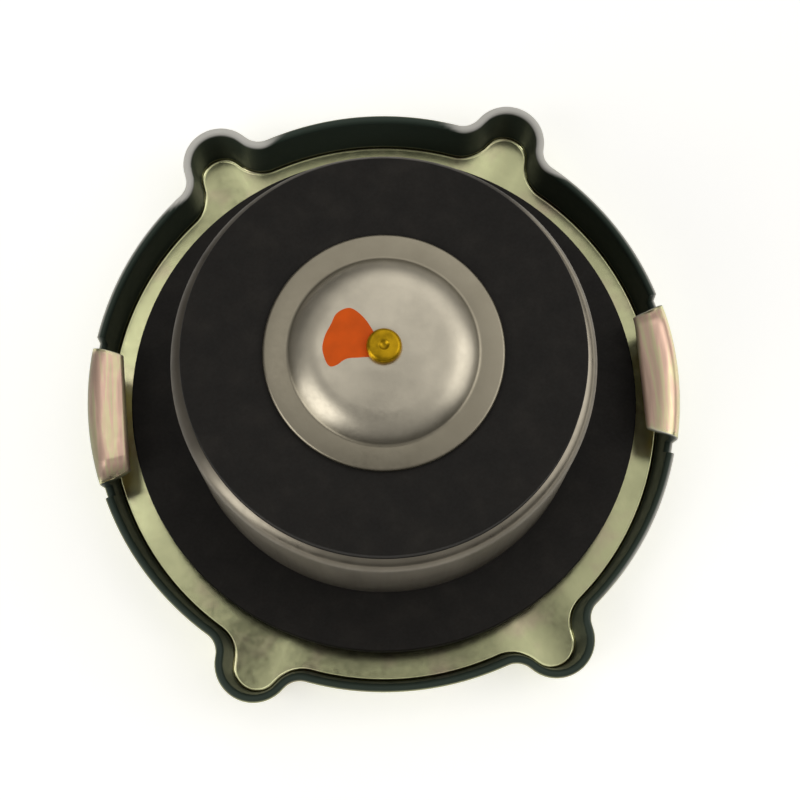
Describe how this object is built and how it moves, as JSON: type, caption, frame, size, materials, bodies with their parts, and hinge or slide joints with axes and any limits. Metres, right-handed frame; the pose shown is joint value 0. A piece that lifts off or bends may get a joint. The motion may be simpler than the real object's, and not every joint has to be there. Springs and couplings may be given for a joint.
{
  "type": "radiator cap",
  "caption": "Radiator pressure cap with a lobed sheet-metal shell, bent bayonet claws, rubber neck gasket, caged spring-loaded pressure valve and a domed vacuum valve in its middle.",
  "frame": {"origin": "centre of the outer face of the shell, which the cap rests on", "axes": "+Z from the outer face toward the radiator, along the axis of the cap; the claws lie on X"},
  "size_m": [0.064, 0.064, 0.0297],
  "materials": {
    "zinc_plated_steel": "yellow passivated zinc plating, satin",
    "plain_steel": "satin steel sheet, slightly stained",
    "spring_steel": "drawn spring wire",
    "black_rubber": "matte moulded rubber",
    "brass": "turned brass, dull"
  },
  "bodies": {
    "cover": {"shell": "zinc_plated_steel", "center_rivet": "zinc_plated_steel"},
    "cage": {"spring_cage": "plain_steel", "neck_gasket": "black_rubber", "diaphragm": "plain_steel", "rivet_washer": "plain_steel", "main_spring": "spring_steel"},
    "pressure_valve": {"pressure_plate": "plain_steel", "pressure_seal": "black_rubber", "seal_eyelet": "brass", "vacuum_spring": "spring_steel"},
    "vacuum_valve": {"vacuum_disc": "plain_steel", "vacuum_stem": "brass", "stem_washer": "brass"}
  },
  "joints": [
    {"name": "cage_swivel", "type": "hinge", "parent": "cover", "child": "cage", "pos_m": [0, 0, 0.003], "axis": [0, 0, 1], "continuous": true},
    {"name": "pressure_lift", "type": "slide", "parent": "cage", "child": "pressure_valve", "axis": [0, 0, -1], "range_m": [0, 0.0045], "stiffness_N_per_m": 2000, "springref_m": -0.001, "deforming": ["main_spring"]},
    {"name": "vacuum_open", "type": "slide", "parent": "pressure_valve", "child": "vacuum_valve", "axis": [0, 0, 1], "range_m": [0, 0.0025], "stiffness_N_per_m": 250, "springref_m": -0.002, "deforming": ["vacuum_spring"]}
  ]
}
